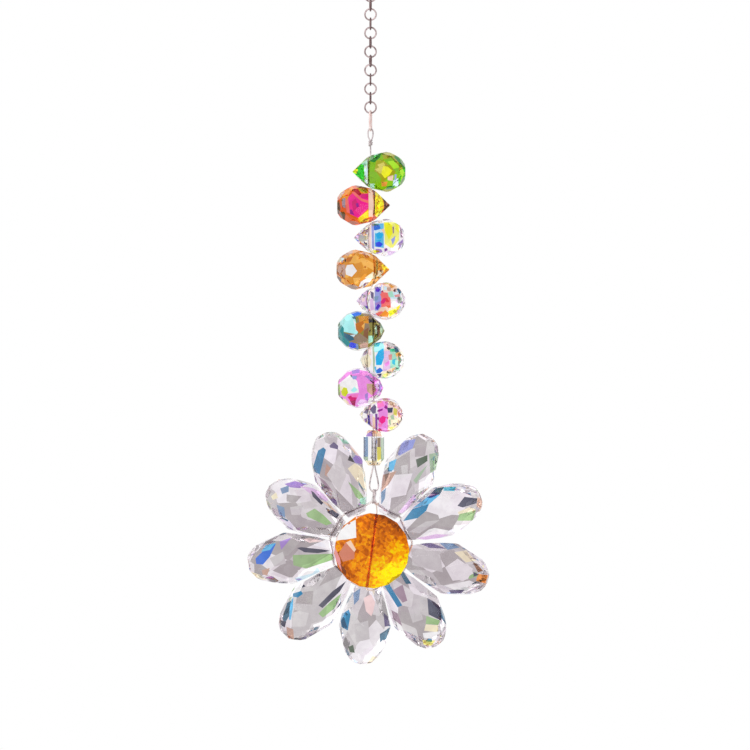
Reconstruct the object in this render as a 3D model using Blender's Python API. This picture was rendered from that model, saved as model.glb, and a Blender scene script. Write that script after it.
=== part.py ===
# Crystal suncatcher: a hanging ring and a rolo chain carry a wire strung with nine cut-glass drops and a
# tube bead. Under them hangs a daisy of nine pear-cut petals on a wire ring, with an amber bead in front.
# Metres, +Z up, seen from the front along +Y. The origin is where a hook bears inside the hanging ring.
import itertools
import math

import bmesh
import bpy
import numpy as np
from mathutils import Matrix, Vector

# Clearances
contact_gap = 0.0001  # left between pieces that hang on or rest on each other
bore_gap = 0.0003  # round a wire in a drilled hole, measured on the radius
one_corner = 0.00002  # corners of a cut stone that are closer than this are one corner

# Hanging ring
hanging_ring_bore = 0.013
hanging_ring_wire = 0.0012

# Rolo chain
link_count = 14
link_outer = 0.00428
link_wire = 0.00054

# Connector, an oblong link seen nearly edge on
connector_length = 0.0072
connector_width = 0.0034
connector_wire = 0.00065
connector_turn = math.radians(80)

# Strand wire, with a wrapped eye at the top and a kite-shaped loop at the bottom
strand_wire = 0.0005
strand_lean = math.radians(0.62)
eye_width = 0.0017
eye_height = 0.0040
eye_wrap_turns = 2.5
eye_to_drops = 0.0049
kite_width = 0.0031
kite_height = 0.0090
kite_widest = 0.0070

# Drops, drilled across near the point. The coloured ones are a size larger than the clear ones, and the last
# clear one is a size smaller.
colour_drop_length = 0.0177
colour_drop_width = 0.0127
clear_drop_length = 0.0168
clear_drop_width = 0.0119
small_drop_length = 0.0156
small_drop_width = 0.0108
drop_names = (
    "drop_1_green", "drop_2_ruby", "drop_3_clear", "drop_4_champagne", "drop_5_clear",
    "drop_6_smoke", "drop_7_clear", "drop_8_lilac", "drop_9_clear",
)
# How far from its point each drop is drilled, as a share of its length, and how far it has swung round the wire,
# in degrees
drop_drill_share = (0.345, 0.350, 0.345, 0.328, 0.333, 0.271, 0.321, 0.237, 0.333)
drop_swing = (6, -2, -6, -5, -22, -36, -38, -40, -28)

# Tube bead
tube_length = 0.0117
tube_width = 0.0063
tube_end_width = 0.0034
tube_end_taper = 0.0022
tube_sides = 8

# Petals, each a flattened pear drilled across its narrow end, with a wider gap at the top for the bail
petal_count = 9
petal_length = 0.0300
petal_width = 0.0160
petal_thickness = 0.0096
petal_root_width = 0.0060
petal_widest = 0.0155
petal_drill_from_root = 0.0016
petal_top_gap = math.radians(51)
petal_gap_lean = math.radians(2.4)
# How far each petal has slid round the ring from its even place, in degrees, clockwise from the upper right
petal_slide = (0, -2.0, 0.8, 1.6, 1.7, 2.8, 1.7, 0.6, 0)
# How far each petal is rolled about its own length, and how far it has swung back on the ring, in degrees
petal_roll = (-4, 6, -5, 3, -6, 4, -3, 5, -6)
petal_swing = (7, -18, -15, -23, 19, 3, -3, 24, 16)

# Petal ring: a wire bent straight through each petal and pulled up to a point under the bail
petal_ring_radius = 0.0131
petal_ring_wire = 0.0006
petal_ring_bend = 0.0008
petal_ring_point_rise = 0.0022  # how far the point stands up above the ring's own circle
petal_ring_point_aside = 0.0014

# Bail: a coil of wire that links the kite to the point of the petal ring
bail_wire = 0.00045
bail_length = 0.0050
bail_depth = 0.0020
bail_turns = 2
bail_slack = 0.0004  # between the bail's ends and the bent wires it holds

# Amber bead, which lies in front of the ring, and the wire through it
amber_width = 0.0246
amber_table_width = 0.0120
amber_girdle = 0.0016
amber_front = 0.0032
amber_back = 0.0026
amber_sides = 16
amber_aside = 0.0004
amber_drop = 0.0015
amber_forward = 0.0048
amber_turn = math.radians(8)
amber_drill_lean = math.radians(7.4)
amber_wire = 0.0004
amber_wrap_turns = 1
amber_lead = 0.0008  # straight out of the bead before the wire bends back to the ring

# Roundness of the solids
ring_steps = 32
link_steps = 14
bore_sides = 10

UP = Vector((0, 0, 1))
RIGHT = Vector((1, 0, 0))
BACK = Vector((0, 1, 0))
FRONT = -BACK

for leftover in list(bpy.data.objects):
    bpy.data.objects.remove(leftover)


def material(name, colour, roughness, metallic=0.0, transmission=0.0):
    made = bpy.data.materials.new(name)
    made.use_nodes = True
    shader = made.node_tree.nodes["Principled BSDF"]
    shader.inputs["Base Color"].default_value = (*colour, 1)
    shader.inputs["Roughness"].default_value = roughness
    shader.inputs["Metallic"].default_value = metallic
    shader.inputs["Transmission Weight"].default_value = transmission
    return made


def crystal(name, colour):
    return material(name, colour, roughness=0.02, transmission=1.0)


# Wires

def wire(name, points, diameter, finish, cyclic=False, sides=6):
    """A round wire along the points, with its ends closed."""
    curve = bpy.data.curves.new(name, "CURVE")
    curve.dimensions = "3D"
    curve.bevel_depth = diameter / 2
    curve.bevel_resolution = sides // 2 - 2
    curve.use_fill_caps = True
    spline = curve.splines.new("POLY")
    spline.points.add(len(points) - 1)
    for knot, point in zip(spline.points, points):
        knot.co = (*point, 1)
    spline.use_cyclic_u = cyclic
    made = bpy.data.objects.new(name, curve)
    bpy.context.scene.collection.objects.link(made)
    made.data.materials.append(finish)
    return made


def smooth_through(points, steps):
    """A smooth curve through the points, with that many steps from each to the next."""
    ends = [2 * points[0] - points[1], *points, 2 * points[-1] - points[-2]]
    made = []
    for a, b, c, d in zip(ends, ends[1:], ends[2:], ends[3:]):
        for k in range(steps):
            t = k / steps
            made.append(
                0.5 * (2 * b + (c - a) * t + (2 * a - 5 * b + 4 * c - d) * t**2 + (3 * b - a - 3 * c + d) * t**3)
            )
    return [*made, points[-1]]


def coil(start, axis, towards, radius, turns, pitch, steps_a_turn=9):
    """Points of a coil round the line through start along axis. It begins on the side towards faces."""
    across = axis.cross(towards).normalized()
    steps = round(turns * steps_a_turn)
    made = []
    for k in range(steps + 1):
        turn = turns * k / steps
        angle = math.tau * turn
        out = towards * math.cos(angle) + across * math.sin(angle)
        made.append(start + axis * pitch * turn + out * radius)
    return made


# Cut stones. A stone is a list of facets, each an outward normal and its distance from the stone's centre.

def stone_corners(facets):
    """The points where three facets' planes meet and no other facet cuts them off."""
    normals = np.array([normal for normal, _ in facets])
    distances = np.array([distance for _, distance in facets])
    threes = np.array(list(itertools.combinations(range(len(facets)), 3)))
    threes = threes[np.abs(np.linalg.det(normals[threes])) > 1e-6]
    points = np.linalg.solve(normals[threes], distances[threes][..., None])[..., 0]
    return points[(points @ normals.T <= distances + 1e-7).all(axis=1)]


def cut_stone(name, facets, location, finish):
    """The stone that is left when each facet's plane has ground away what lies outside it."""
    mesh = bpy.data.meshes.new(name)
    body = bmesh.new()
    for corner in stone_corners(facets):
        body.verts.new(corner)
    bmesh.ops.remove_doubles(body, verts=body.verts, dist=one_corner)
    hull = bmesh.ops.convex_hull(body, input=body.verts)
    inner = [part for part in {*hull["geom_interior"], *hull["geom_unused"]} if isinstance(part, bmesh.types.BMVert)]
    bmesh.ops.delete(body, geom=inner, context="VERTS")
    bmesh.ops.dissolve_limit(body, angle_limit=math.radians(1), verts=body.verts, edges=body.edges)
    body.to_mesh(mesh)
    body.free()
    made = bpy.data.objects.new(name, mesh)
    bpy.context.scene.collection.objects.link(made)
    made.location = location
    made.data.materials.append(finish)
    return made


def ring_of_facets(half_width, station, rows, flatness=1.0):
    """Facets on a body whose length lies along X, touching it at each row's station.

    half_width gives the body's half width in Z at a share of its length, and flatness the share of that it
    has in Y. A row is (share of the length, number of facets, offset in steps).
    """
    facets = []
    small = 1e-4
    for share, count, offset in rows:
        width = half_width(share)
        run = station(share + small) - station(share - small)
        slope = (half_width(share + small) - half_width(share - small)) / run
        for k in range(count):
            angle = math.tau * (k + offset) / count
            touch = Vector((station(share), flatness * width * math.sin(angle), width * math.cos(angle)))
            normal = Vector((-slope, math.sin(angle) / flatness, math.cos(angle))).normalized()
            facets.append((normal, normal.dot(touch)))
    return facets


def end_facet(direction, distance):
    return Vector((direction, 0, 0)), distance


def turned(facets, rotation):
    return [(rotation @ normal, distance) for normal, distance in facets]


def top_at(facets, x, y, sign):
    """How far the stone reaches above its centre, or below it where sign is -1, at each x and y."""
    reach = np.full(np.shape(x), np.inf)
    inside = np.ones(np.shape(x), bool)
    for normal, distance in facets:
        rise = sign * normal.z
        room = distance - normal.x * x - normal.y * y
        if rise > 1e-6:
            reach = np.minimum(reach, room / rise)
        elif rise > -1e-6:
            inside &= room > 0
    return np.where(inside, reach, -np.inf)


def stacking_height(upper, lower, reach, samples=121):
    """How far apart two stones' centres are, one above the other, when the upper one rests on the lower."""
    side = np.linspace(-reach, reach, samples)
    x, y = np.meshgrid(side, side)
    above, below = top_at(lower, x, y, 1), top_at(upper, x, y, -1)
    shared = above + below
    there = (above > -top_at(lower, x, y, -1)) & (below > -top_at(upper, x, y, 1))
    return float(shared[there].max())


def drill(stone, axis, diameter, reach):
    """Drills a hole through the stone's own centre, with a cutter that isn't part of the object."""
    mesh = bpy.data.meshes.new(stone.name + "_bore")
    body = bmesh.new()
    bmesh.ops.create_cone(
        body, cap_ends=True, segments=bore_sides, radius1=diameter / 2, radius2=diameter / 2, depth=2 * reach
    )
    body.to_mesh(mesh)
    body.free()
    cutter = bpy.data.objects.new(stone.name + "_bore", mesh)
    bpy.context.scene.collection.objects.link(cutter)
    cutter.parent = stone
    cutter.matrix_local = axis.to_track_quat("Z", "Y").to_matrix().to_4x4()
    cutter.hide_render = True
    cutter.display_type = "WIRE"
    cut = stone.modifiers.new("bore", "BOOLEAN")
    cut.operation = "DIFFERENCE"
    cut.solver = "EXACT"
    cut.object = cutter


def for_wire(diameter):
    """The bore that a wire of that diameter runs through."""
    return diameter + 2 * bore_gap


def quarter_round(share):
    """Half width of a round end, as a share of its full half width, from its root at 0 to its tip at 1."""
    return math.sqrt(max(0.0, 1 - share * share))


# Hanging ring and rolo chain, each link passing through the last one

antique_copper = material("antique_copper", (0.30, 0.21, 0.19), roughness=0.35, metallic=1.0)
bright_copper = material("bright_copper", (0.80, 0.62, 0.57), roughness=0.25, metallic=1.0)
silvery_wire = material("silvery_wire", (0.58, 0.50, 0.48), roughness=0.28, metallic=1.0)

hanging_ring_radius = (hanging_ring_bore + hanging_ring_wire) / 2
hanging_ring_centre = Vector((0, 0, -hanging_ring_bore / 2))


def circle_points(centre, radius, sideways, steps):
    """Points round a circle that stands upright, spread sideways, from its top round."""
    angles = [math.tau * k / steps for k in range(steps)]
    return [centre + (sideways * math.sin(a) + UP * math.cos(a)) * radius for a in angles]


wire(
    "hanging_ring",
    circle_points(hanging_ring_centre, hanging_ring_radius, RIGHT, ring_steps),
    hanging_ring_wire,
    antique_copper,
    cyclic=True,
    sides=8,
)

link_radius = (link_outer - link_wire) / 2
link_pitch = 2 * link_radius - link_wire - contact_gap
ring_foot = hanging_ring_centre.z - hanging_ring_radius
first_link_top = ring_foot + (hanging_ring_wire + link_wire) / 2 + contact_gap
for k in range(link_count):
    link_centre = UP * (first_link_top - link_radius - k * link_pitch)
    sideways = RIGHT if k % 2 else BACK
    wire(
        f"chain_link_{k + 1:02d}",
        circle_points(link_centre, link_radius, sideways, link_steps),
        link_wire,
        antique_copper,
        cyclic=True,
    )

# Connector, resting in the last link

connector_reach = (connector_length - connector_wire) / 2
connector_bend = (connector_width - connector_wire) / 2
last_link_floor = link_centre.z - link_radius + link_wire / 2
connector_centre = UP * (last_link_floor + contact_gap + connector_wire / 2 - connector_reach)
connector_side = Vector((math.cos(connector_turn), math.sin(connector_turn), 0))


def oblong_points(centre, sideways, bend, reach, steps):
    """Points round a link with straight sides and round ends, upright, from its top round."""
    made = []
    for k in range(steps):
        angle = math.tau * k / steps
        rise = math.cos(angle) * bend + math.copysign(reach - bend, math.cos(angle))
        made.append(centre + sideways * math.sin(angle) * bend + UP * rise)
    return made


wire(
    "connector_link",
    oblong_points(connector_centre, connector_side, connector_bend, connector_reach, 18),
    connector_wire,
    bright_copper,
    cyclic=True,
    sides=8,
)

# Cut-glass drops, strung alternately to the right and to the left

drop_rows = (
    (0.10, 6, 0.0),
    (0.30, 8, 0.5),
    (0.50, 10, 0.0),
    (0.67, 10, 0.5),
    (0.82, 10, 0.0),
    (0.93, 6, 0.5),
)


def drop_half_width(share):
    """Half width of a drop, as a share of its greatest, from its point at 0 to its round end at 1."""
    widest = 0.60
    if share >= widest:
        return quarter_round((share - widest) / (1 - widest))
    return 1 - (1 - share / widest) ** 1.9


def drop_facets(length, width, drilled):
    """Facets of a drop that points along -X, centred where it is drilled, that far from its point."""
    def station(share):
        return share * length - drilled

    def half_width(share):
        return drop_half_width(share) * width / 2

    cut_back = 0.985
    facets = ring_of_facets(half_width, station, drop_rows)
    return [*facets, end_facet(1, station(cut_back)), end_facet(-1, drilled)]


drop_glass = {
    "green": crystal("glass_green", (0.45, 0.85, 0.10)),
    "ruby": crystal("glass_ruby", (0.90, 0.15, 0.30)),
    "champagne": crystal("glass_champagne", (0.90, 0.62, 0.28)),
    "smoke": crystal("glass_smoke", (0.35, 0.42, 0.45)),
    "lilac": crystal("glass_lilac", (0.88, 0.55, 0.85)),
    "clear": crystal("glass_clear", (0.95, 0.95, 0.97)),
}

connector_floor = connector_centre.z - connector_reach + connector_wire / 2
eye_top = connector_floor + contact_gap + strand_wire / 2
eye_foot = UP * (eye_top - eye_height)


def on_strand(z):
    """The point of the strand's own line at that height."""
    return Vector(((eye_foot.z - z) * math.tan(strand_lean), 0, z))


drop_reach = max(colour_drop_length, clear_drop_length)
drop_z = eye_foot.z - eye_to_drops
above = None
for k, name in enumerate(drop_names):
    length, width = colour_drop_length, colour_drop_width
    if name.endswith("clear"):
        length, width = clear_drop_length, clear_drop_width
    if name == drop_names[-1]:
        length, width = small_drop_length, small_drop_width
    points_right = math.pi if k % 2 else 0.0
    rotation = Matrix.Rotation(points_right + math.radians(drop_swing[k]), 3, "Z")
    facets = turned(drop_facets(length, width, drop_drill_share[k] * length), rotation)
    if above is None:
        drop_z -= float(top_at(facets, np.zeros(1), np.zeros(1), 1)[0])
    else:
        drop_z -= stacking_height(above, facets, drop_reach) + contact_gap
    drop = cut_stone(name, facets, on_strand(drop_z), drop_glass[name.split("_")[2]])
    drill(drop, UP, for_wire(strand_wire), drop_reach)
    above = facets

# Tube bead, an eight-sided column with tapered ends, wide enough in the bore for the wire to come back up

strand_pair = strand_wire + contact_gap  # between the two wires that share the tube bead's bore
tube_bore = for_wire(strand_pair + strand_wire) - bore_gap


def tube_facets():
    """Facets of the tube bead, which stands along Z."""
    half_width, half_end = tube_width / 2, tube_end_width / 2
    slope = (half_width - half_end) / tube_end_taper
    facets = [(UP, tube_length / 2), (-UP, tube_length / 2)]
    for k in range(tube_sides):
        angle = math.tau * (k + 0.5) / tube_sides
        out = Vector((math.cos(angle), math.sin(angle), 0))
        facets.append((out, half_width))
        for end in (UP, -UP):
            normal = (out + end * slope).normalized()
            touch = out * half_end + end * tube_length / 2
            facets.append((normal, normal.dot(touch)))
    return facets


tube_z = drop_z - stacking_height(above, tube_facets(), tube_width) - contact_gap
tube = cut_stone("tube_bead", tube_facets(), on_strand(tube_z), crystal("glass_tube", (0.85, 0.92, 0.85)))
drill(tube, UP, tube_bore, tube_length)

# Strand wire: wrapped eye, straight run through the drops, and the kite below the tube bead

half_eye, half_kite = eye_width / 2, kite_width / 2
wrap_radius = strand_wire + contact_gap
wrap = coil(
    eye_foot - UP * strand_wire / 2,
    -UP,
    FRONT,
    wrap_radius,
    eye_wrap_turns,
    strand_wire + contact_gap,
)
eye_side_rise = (0.10, 0.30, 0.62, 0.90)
eye_side_out = (0.42, 0.88, 1.00, 0.80)
eye_right = [
    eye_foot + Vector((out * half_eye, 0, rise * eye_height)) for rise, out in zip(eye_side_rise, eye_side_out)
]
eye_left = [Vector((-point.x, 0, point.z)) for point in eye_right]
crossing_out, crossing_forward = 0.55, 0.62  # shares of half the eye's width and of the wraps' radius
eye_crossing = eye_foot + RIGHT * crossing_out * half_eye + FRONT * crossing_forward * wrap_radius
eye_loop = smooth_through(
    [*eye_left, eye_foot + UP * eye_height, *reversed(eye_right), eye_crossing, wrap[0]], 2
)
tube_top, tube_foot = on_strand(tube_z + tube_length / 2), on_strand(tube_z - tube_length / 2)
left_in_bore, right_in_bore = -RIGHT * strand_pair / 2, RIGHT * strand_pair / 2
kite_foot = tube_foot - UP * kite_height
kite_side_fall = (0.10, 0.42, kite_widest / kite_height, 0.93)
kite_side_out = (0.24, 0.66, 1.00, 0.58)
kite_left = [
    tube_foot + Vector((-out * half_kite, 0, -fall * kite_height)) for fall, out in zip(kite_side_fall, kite_side_out)
]
kite_right = [2 * Vector((tube_foot.x, 0, 0)) + Vector((-point.x, 0, point.z)) for point in kite_left]
kite = smooth_through(
    [tube_foot + left_in_bore, *kite_left, kite_foot, *reversed(kite_right), tube_foot + right_in_bore], 2
)
bore_crossed = tube_length / 2 - tube_end_taper
strand_path = [
    *reversed(wrap),
    *reversed(eye_loop[:-1]),
    eye_foot,
    on_strand(wrap[-1].z),
    tube_top,
    on_strand(tube_z + bore_crossed) + left_in_bore,
    *kite,
    on_strand(tube_z + bore_crossed - 2 * strand_wire) + right_in_bore,
]
wire("strand_wire", strand_path, strand_wire, silvery_wire)

# Petal ring, in the flower's own plane round its centre


def spoke(angle):
    """The direction from the flower's centre at that angle, clockwise from straight up."""
    return Vector((math.sin(angle), 0, math.cos(angle)))


def along_ring(angle):
    """The clockwise direction of the ring's wire where it runs through a petal at that angle."""
    return Vector((math.cos(angle), 0, -math.sin(angle)))


def petal_half_width(share):
    """Half width of a petal from its root at 0 to its tip at 1."""
    widest = petal_widest / petal_length
    half_root, half_full = petal_root_width / 2, petal_width / 2
    if share >= widest:
        return half_full * quarter_round((share - widest) / (1 - widest))
    return half_root + (half_full - half_root) * (1 - (1 - share / widest) ** 1.5)


def ring_corner(angle, next_angle):
    """Where the wire bends between two petals, on the lines of both petals' bores."""
    half_step = (next_angle - angle) / 2
    return spoke(angle + half_step) * petal_ring_radius / math.cos(half_step)


def bent(corners, bend, steps=3):
    """A closed path with each corner bent round over that length on either side, or less on a short side."""
    most_of_a_side = 0.45
    made = []
    for before, corner, after in zip([corners[-1], *corners], corners, [*corners[1:], corners[0]]):
        back, on = before - corner, after - corner
        start = corner + back.normalized() * min(bend, most_of_a_side * back.length)
        finish = corner + on.normalized() * min(bend, most_of_a_side * on.length)
        for k in range(steps + 1):
            t = k / steps
            made.append(start * (1 - t) ** 2 + corner * 2 * t * (1 - t) + finish * t**2)
    return made


petal_step = (math.tau - petal_top_gap) / (petal_count - 1)
petal_angles = [
    petal_top_gap / 2 + petal_gap_lean + k * petal_step + math.radians(slide) for k, slide in enumerate(petal_slide)
]
straight_run = petal_half_width(petal_drill_from_root / petal_length) + petal_ring_bend
first_petal, last_petal = petal_angles[0], petal_angles[-1]
leaves_last = spoke(last_petal) * petal_ring_radius + along_ring(last_petal) * straight_run
enters_first = spoke(first_petal) * petal_ring_radius - along_ring(first_petal) * straight_run
ring_point = RIGHT * petal_ring_point_aside + UP * (petal_ring_radius + petal_ring_point_rise)
ring_corners = [
    ring_point,
    enters_first,
    *(ring_corner(a, b) for a, b in zip(petal_angles, petal_angles[1:])),
    leaves_last,
]
ring_path = bent(ring_corners, petal_ring_bend)
ring_top = max(ring_path, key=lambda point: point.z)

# Bail, an oblong coil seen from its side, round the foot of the kite and the top of the petal ring

bail_reach = (bail_length - bail_wire) / 2
bail_bend = (bail_depth - bail_wire) / 2
bail_pitch = bail_wire + contact_gap
bail_top = kite_foot.z + strand_wire / 2 + bail_slack + bail_wire / 2
bail_centre = Vector((kite_foot.x, 0, bail_top - bail_reach))


def bail_points(steps_a_turn=14):
    """Points of the bail, from its back round."""
    made = []
    steps = bail_turns * steps_a_turn
    for k in range(steps + 1):
        turn = k / steps_a_turn
        angle = math.tau * (turn + 0.25)
        rise = math.cos(angle) * bail_bend
        if abs(math.cos(angle)) > 1e-6:
            rise += math.copysign(bail_reach - bail_bend, math.cos(angle))
        shift = RIGHT * bail_pitch * (turn - bail_turns / 2)
        made.append(bail_centre + shift + BACK * math.sin(angle) * bail_bend + UP * rise)
    return made


wire("flower_bail", bail_points(), bail_wire, silvery_wire)
ring_hangs_at = bail_centre.z - bail_reach + bail_wire / 2 + bail_slack + petal_ring_wire / 2
flower_centre = Vector((bail_centre.x - ring_top.x, 0, ring_hangs_at - ring_top.z))
wire(
    "petal_ring",
    [flower_centre + point for point in ring_path],
    petal_ring_wire,
    bright_copper,
    cyclic=True,
)

# Petals

petal_rows = (
    (0.09, 6, 0.0),
    (0.33, 8, 0.0),
    (0.56, 8, 0.5),
    (0.74, 8, 0.0),
    (0.88, 8, 0.5),
    (0.965, 5, 0.0),
)
clear_glass = crystal("glass_petal", (0.95, 0.95, 0.97))


def petal_station(share):
    return share * petal_length - petal_drill_from_root


def petal_facets():
    """Facets of a petal that grows along +X from its root, centred where it is drilled."""
    cut_back = 0.99
    facets = ring_of_facets(petal_half_width, petal_station, petal_rows, petal_thickness / petal_width)
    return [*facets, end_facet(1, petal_station(cut_back)), end_facet(-1, petal_drill_from_root)]


for k, (angle, roll, swing) in enumerate(zip(petal_angles, petal_roll, petal_swing)):
    across = -along_ring(angle)
    place = Matrix((spoke(angle), BACK, across)).transposed()
    place @= Matrix.Rotation(math.radians(swing), 3, "Z") @ Matrix.Rotation(math.radians(roll), 3, "X")
    facets = turned(petal_facets(), place)
    petal = cut_stone(f"petal_{k + 1}", facets, flower_centre + spoke(angle) * petal_ring_radius, clear_glass)
    drill(petal, across, for_wire(petal_ring_wire), petal_width)

# Amber bead, a round cut bead with a table front and back, drilled from edge to edge

amber_centre = flower_centre + RIGHT * amber_aside - UP * amber_drop + FRONT * amber_forward
amber_drill_line = Vector((math.sin(amber_drill_lean), 0, math.cos(amber_drill_lean)))


def sloped(out, towards, radius, depth, inner_radius, rise):
    """A facet that rises from that radius and depth to an inner radius."""
    normal = (out * rise + towards * (radius - inner_radius)).normalized()
    return normal, normal.dot(out * radius + towards * depth)


def amber_facets():
    """Facets of the amber bead, whose tables face the front and the back."""
    half_width, half_table, half_girdle = amber_width / 2, amber_table_width / 2, amber_girdle / 2
    rim_share, rim_rise_share, main_edge_share = 0.72, 0.55, 0.985
    facets = [(FRONT, half_girdle + amber_front), (BACK, half_girdle + amber_back)]
    for k in range(amber_sides):
        out = spoke(math.tau * k / amber_sides + amber_turn)
        facets.append((out, half_width))
        for towards, rise in ((FRONT, amber_front), (BACK, amber_back)):
            rim = half_width * rim_share
            facets.append(sloped(out, towards, half_width, half_girdle, rim, rise * rim_rise_share))
            if k % 2:
                facets.append(sloped(out, towards, half_width * main_edge_share, half_girdle, half_table, rise))
    return facets


amber = cut_stone("amber_bead", amber_facets(), amber_centre, crystal("glass_amber", (0.95, 0.45, 0.04)))
drill(amber, amber_drill_line, for_wire(amber_wire), amber_width)

# Amber wire, wound on the petal ring above and below the bead and straight through it between them

wound_radius = (petal_ring_wire + amber_wire) / 2 + contact_gap
wound_pitch = amber_wire + 2 * contact_gap


def along(path, distance):
    """The point at that distance along a path."""
    for start, finish in zip(path, path[1:]):
        length = (finish - start).length
        if distance <= length:
            return start.lerp(finish, distance / length)
        distance -= length
    return path[-1]


def wound_on_ring(path, start, steps_a_turn=9):
    """Points of a coil wound on a stretch of the petal ring. It begins in front, that far along the path."""
    made = []
    for k in range(round(amber_wrap_turns * steps_a_turn) + 1):
        turn = k / steps_a_turn
        distance = start + wound_pitch * turn
        heading = (along(path, distance + amber_wire) - along(path, distance - amber_wire)).normalized()
        side = heading.cross(FRONT)
        out = FRONT * math.cos(math.tau * turn) + side * math.sin(math.tau * turn)
        made.append(flower_centre + along(path, distance) + out * wound_radius)
    return made


points_a_bend = len(ring_path) // len(ring_corners)
half_bail = (bail_pitch * bail_turns + bail_wire) / 2
beside_bail = half_bail + amber_wire + contact_gap
upper_winding = wound_on_ring(ring_path[ring_path.index(ring_top):], beside_bail)
lowest_petal = petal_count // 2
lower_corner = ring_corners.index(ring_corner(petal_angles[lowest_petal - 1], petal_angles[lowest_petal]))
anticlockwise = ring_path[: (lower_corner + 1) * points_a_bend][::-1]
lower_winding = wound_on_ring(anticlockwise, petal_ring_bend * 0.75)
bead_top = amber_centre + amber_drill_line * (amber_width / 2 + amber_lead)
bead_foot = amber_centre - amber_drill_line * (amber_width / 2 + amber_lead)
bow = 0.2  # how far the wire bows forward before it turns back to the ring, as a share of its way back
bowed_forward = FRONT * bow * (amber_forward - wound_radius)
upper_turn = (bead_top + upper_winding[0]) / 2 + bowed_forward
lower_turn = (bead_foot + lower_winding[0]) / 2 + bowed_forward - UP * amber_lead
bead_mouth = amber_drill_line * amber_width / 2
amber_path = [
    *reversed(upper_winding[1:]),
    *smooth_through([upper_winding[0], upper_turn, bead_top, amber_centre + bead_mouth], 3),
    *smooth_through([amber_centre - bead_mouth, bead_foot, lower_turn, lower_winding[0]], 3),
    *lower_winding[1:],
]
wire("amber_wire", amber_path, amber_wire, silvery_wire)
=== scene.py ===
import math
import random

import bmesh
import bpy
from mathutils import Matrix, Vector


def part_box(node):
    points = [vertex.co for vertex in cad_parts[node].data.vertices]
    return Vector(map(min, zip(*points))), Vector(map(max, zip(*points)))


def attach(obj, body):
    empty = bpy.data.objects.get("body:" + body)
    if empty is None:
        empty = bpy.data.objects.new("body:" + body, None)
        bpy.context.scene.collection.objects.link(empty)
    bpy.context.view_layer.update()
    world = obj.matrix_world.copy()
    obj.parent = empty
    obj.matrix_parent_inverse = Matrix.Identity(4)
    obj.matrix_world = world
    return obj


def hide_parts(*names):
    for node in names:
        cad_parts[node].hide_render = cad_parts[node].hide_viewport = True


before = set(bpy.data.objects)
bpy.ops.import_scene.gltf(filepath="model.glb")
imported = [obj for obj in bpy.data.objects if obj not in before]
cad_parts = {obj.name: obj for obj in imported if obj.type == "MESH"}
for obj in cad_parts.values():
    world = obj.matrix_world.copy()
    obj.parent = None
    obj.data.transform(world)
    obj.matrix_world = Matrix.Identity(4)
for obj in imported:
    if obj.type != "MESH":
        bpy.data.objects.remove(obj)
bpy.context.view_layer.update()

scene = bpy.context.scene

# Camera and studio: the suncatcher is seen straight on through a long lens, a third of a millimetre to a
# pixel of a square picture. The room is white to the lens, and has soft lit and dim places for the stones and
# the wires.
photo_side = 750
photo_width = 0.25
connector_in_photo = Vector((370.5, 120.8))
connector_low, connector_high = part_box("connector_link")
connector = (connector_low + connector_high) / 2
centre_shift = (Vector((photo_side / 2, photo_side / 2)) - connector_in_photo) * (photo_width / photo_side)
camera_distance = 1.6
camera_data = bpy.data.cameras.new("camera")
camera_data.sensor_width = 36
camera_data.lens = camera_data.sensor_width * camera_distance / photo_width
camera = bpy.data.objects.new("camera", camera_data)
camera.location = (connector.x + centre_shift.x, -camera_distance, connector.z - centre_shift.y)
camera.rotation_euler = (math.radians(90), 0, 0)
scene.collection.objects.link(camera)
scene.camera = camera
scene.view_settings.view_transform = "Standard"
scene.cycles.max_bounces = 40
scene.cycles.transmission_bounces = 40
scene.cycles.glossy_bounces = 32
scene.cycles.transparent_max_bounces = 12


class Value:
    """A node's socket that turns sums into Math nodes."""

    def __init__(self, tree, socket):
        self.tree = tree
        self.socket = socket

    def math(self, operation, *values):
        return node(self.tree, "ShaderNodeMath", values, operation=operation)

    def __add__(self, other):
        return self.math("ADD", self, other)

    def __radd__(self, other):
        return self.math("ADD", other, self)

    def __sub__(self, other):
        return self.math("SUBTRACT", self, other)

    def __rsub__(self, other):
        return self.math("SUBTRACT", other, self)

    def __mul__(self, other):
        return self.math("MULTIPLY", self, other)

    def __rmul__(self, other):
        return self.math("MULTIPLY", other, self)


def node(tree, kind, values=(), output=0, **settings):
    """Adds a node. Settings are set first, then the values go to its inputs by order or by name."""
    made = tree.nodes.new(kind)
    for name, setting in settings.items():
        setattr(made, name, setting)
    for key, value in values.items() if isinstance(values, dict) else enumerate(values):
        if isinstance(value, Value):
            tree.links.new(value.socket, made.inputs[key])
        else:
            made.inputs[key].default_value = value
    return Value(tree, made.outputs[output])


def mixed(tree, factor, first, second, blend="MIX"):
    """A colour that goes from the first to the second."""
    values = {"Factor": factor, "A": first, "B": second}
    return node(tree, "ShaderNodeMix", values, output=2, data_type="RGBA", blend_type=blend)


world = bpy.data.worlds.new("studio")
world.use_nodes = True
scene.world = world
room = world.node_tree
room.nodes.clear()
direction = node(room, "ShaderNodeTexCoord")


def ramped(tree, value, start, end, low, high):
    """A value that goes smoothly from low to high between the start and the end."""
    return node(tree, "ShaderNodeMapRange", (value, start, end, low, high), interpolation_type="SMOOTHSTEP")


def lamp(towards, half_angle, softness, strength):
    """A soft round patch, its angles in degrees, that adds to the room's light or takes from it."""
    aim = Vector(towards).normalized()
    along = node(room, "ShaderNodeVectorMath", (direction, aim), "Value", operation="DOT_PRODUCT")
    outer = math.cos(math.radians(half_angle + softness))
    inner = math.cos(math.radians(half_angle))
    return ramped(room, along, outer, inner, 0, strength)


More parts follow.
